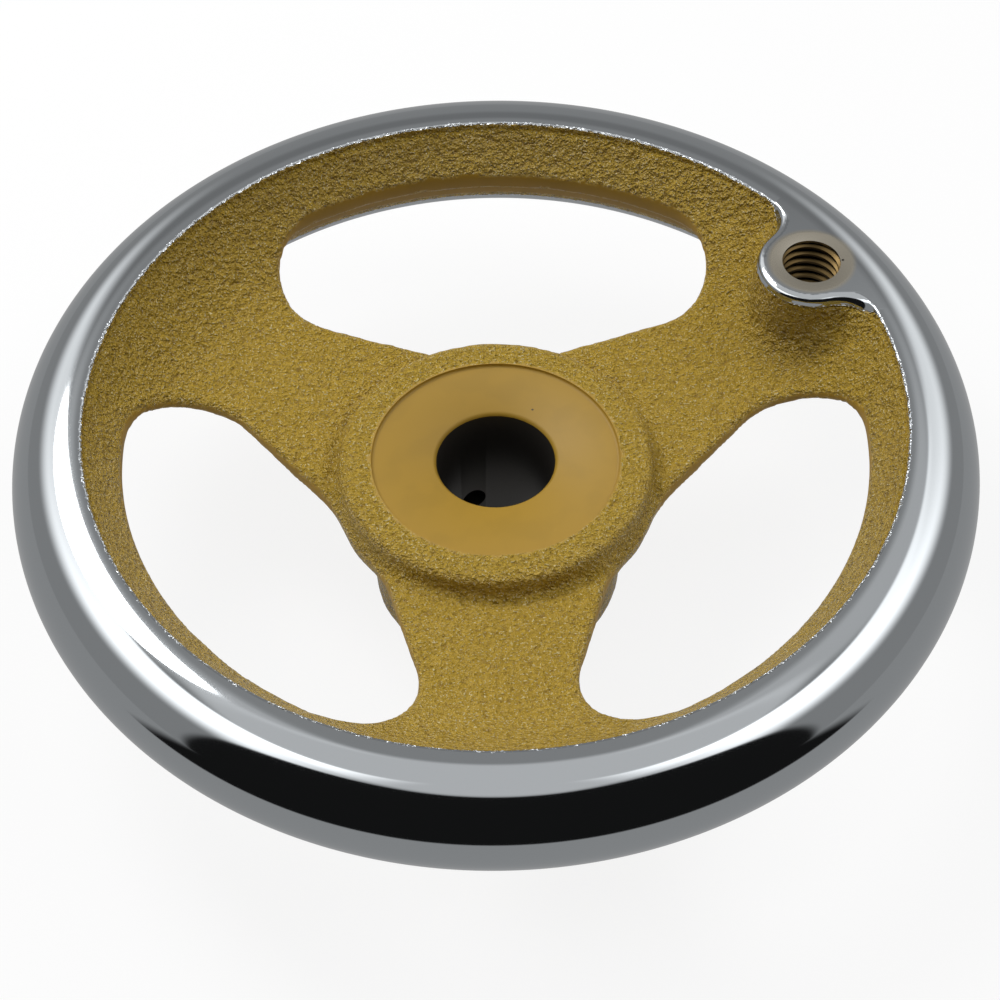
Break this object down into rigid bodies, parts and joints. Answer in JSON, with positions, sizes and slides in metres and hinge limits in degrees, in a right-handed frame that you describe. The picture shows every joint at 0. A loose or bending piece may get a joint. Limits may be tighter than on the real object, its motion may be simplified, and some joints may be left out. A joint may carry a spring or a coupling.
{
  "type": "machine handwheel",
  "caption": "Dished spoked machine handwheel cast in iron, with a chromed rim, an enamelled web and hub, a plain bore and a tapped boss for a turning handle.",
  "frame": {"origin": "on the wheel's axis, at the rear end of the hub", "axes": "+Z along the shaft bore, from the rear of the hub towards the operator who faces the dish; -Y along the spoke nearest the viewer; the handle boss is 30 degrees from +X towards +Y"},
  "size_m": [0.1778, 0.1778, 0.0497],
  "materials": {
    "enamelled_casting": "thick golden mustard machine enamel over rough sand-cast iron"
  },
  "bodies": {
    "root": {"handwheel": "enamelled_casting"}
  },
  "joints": []
}
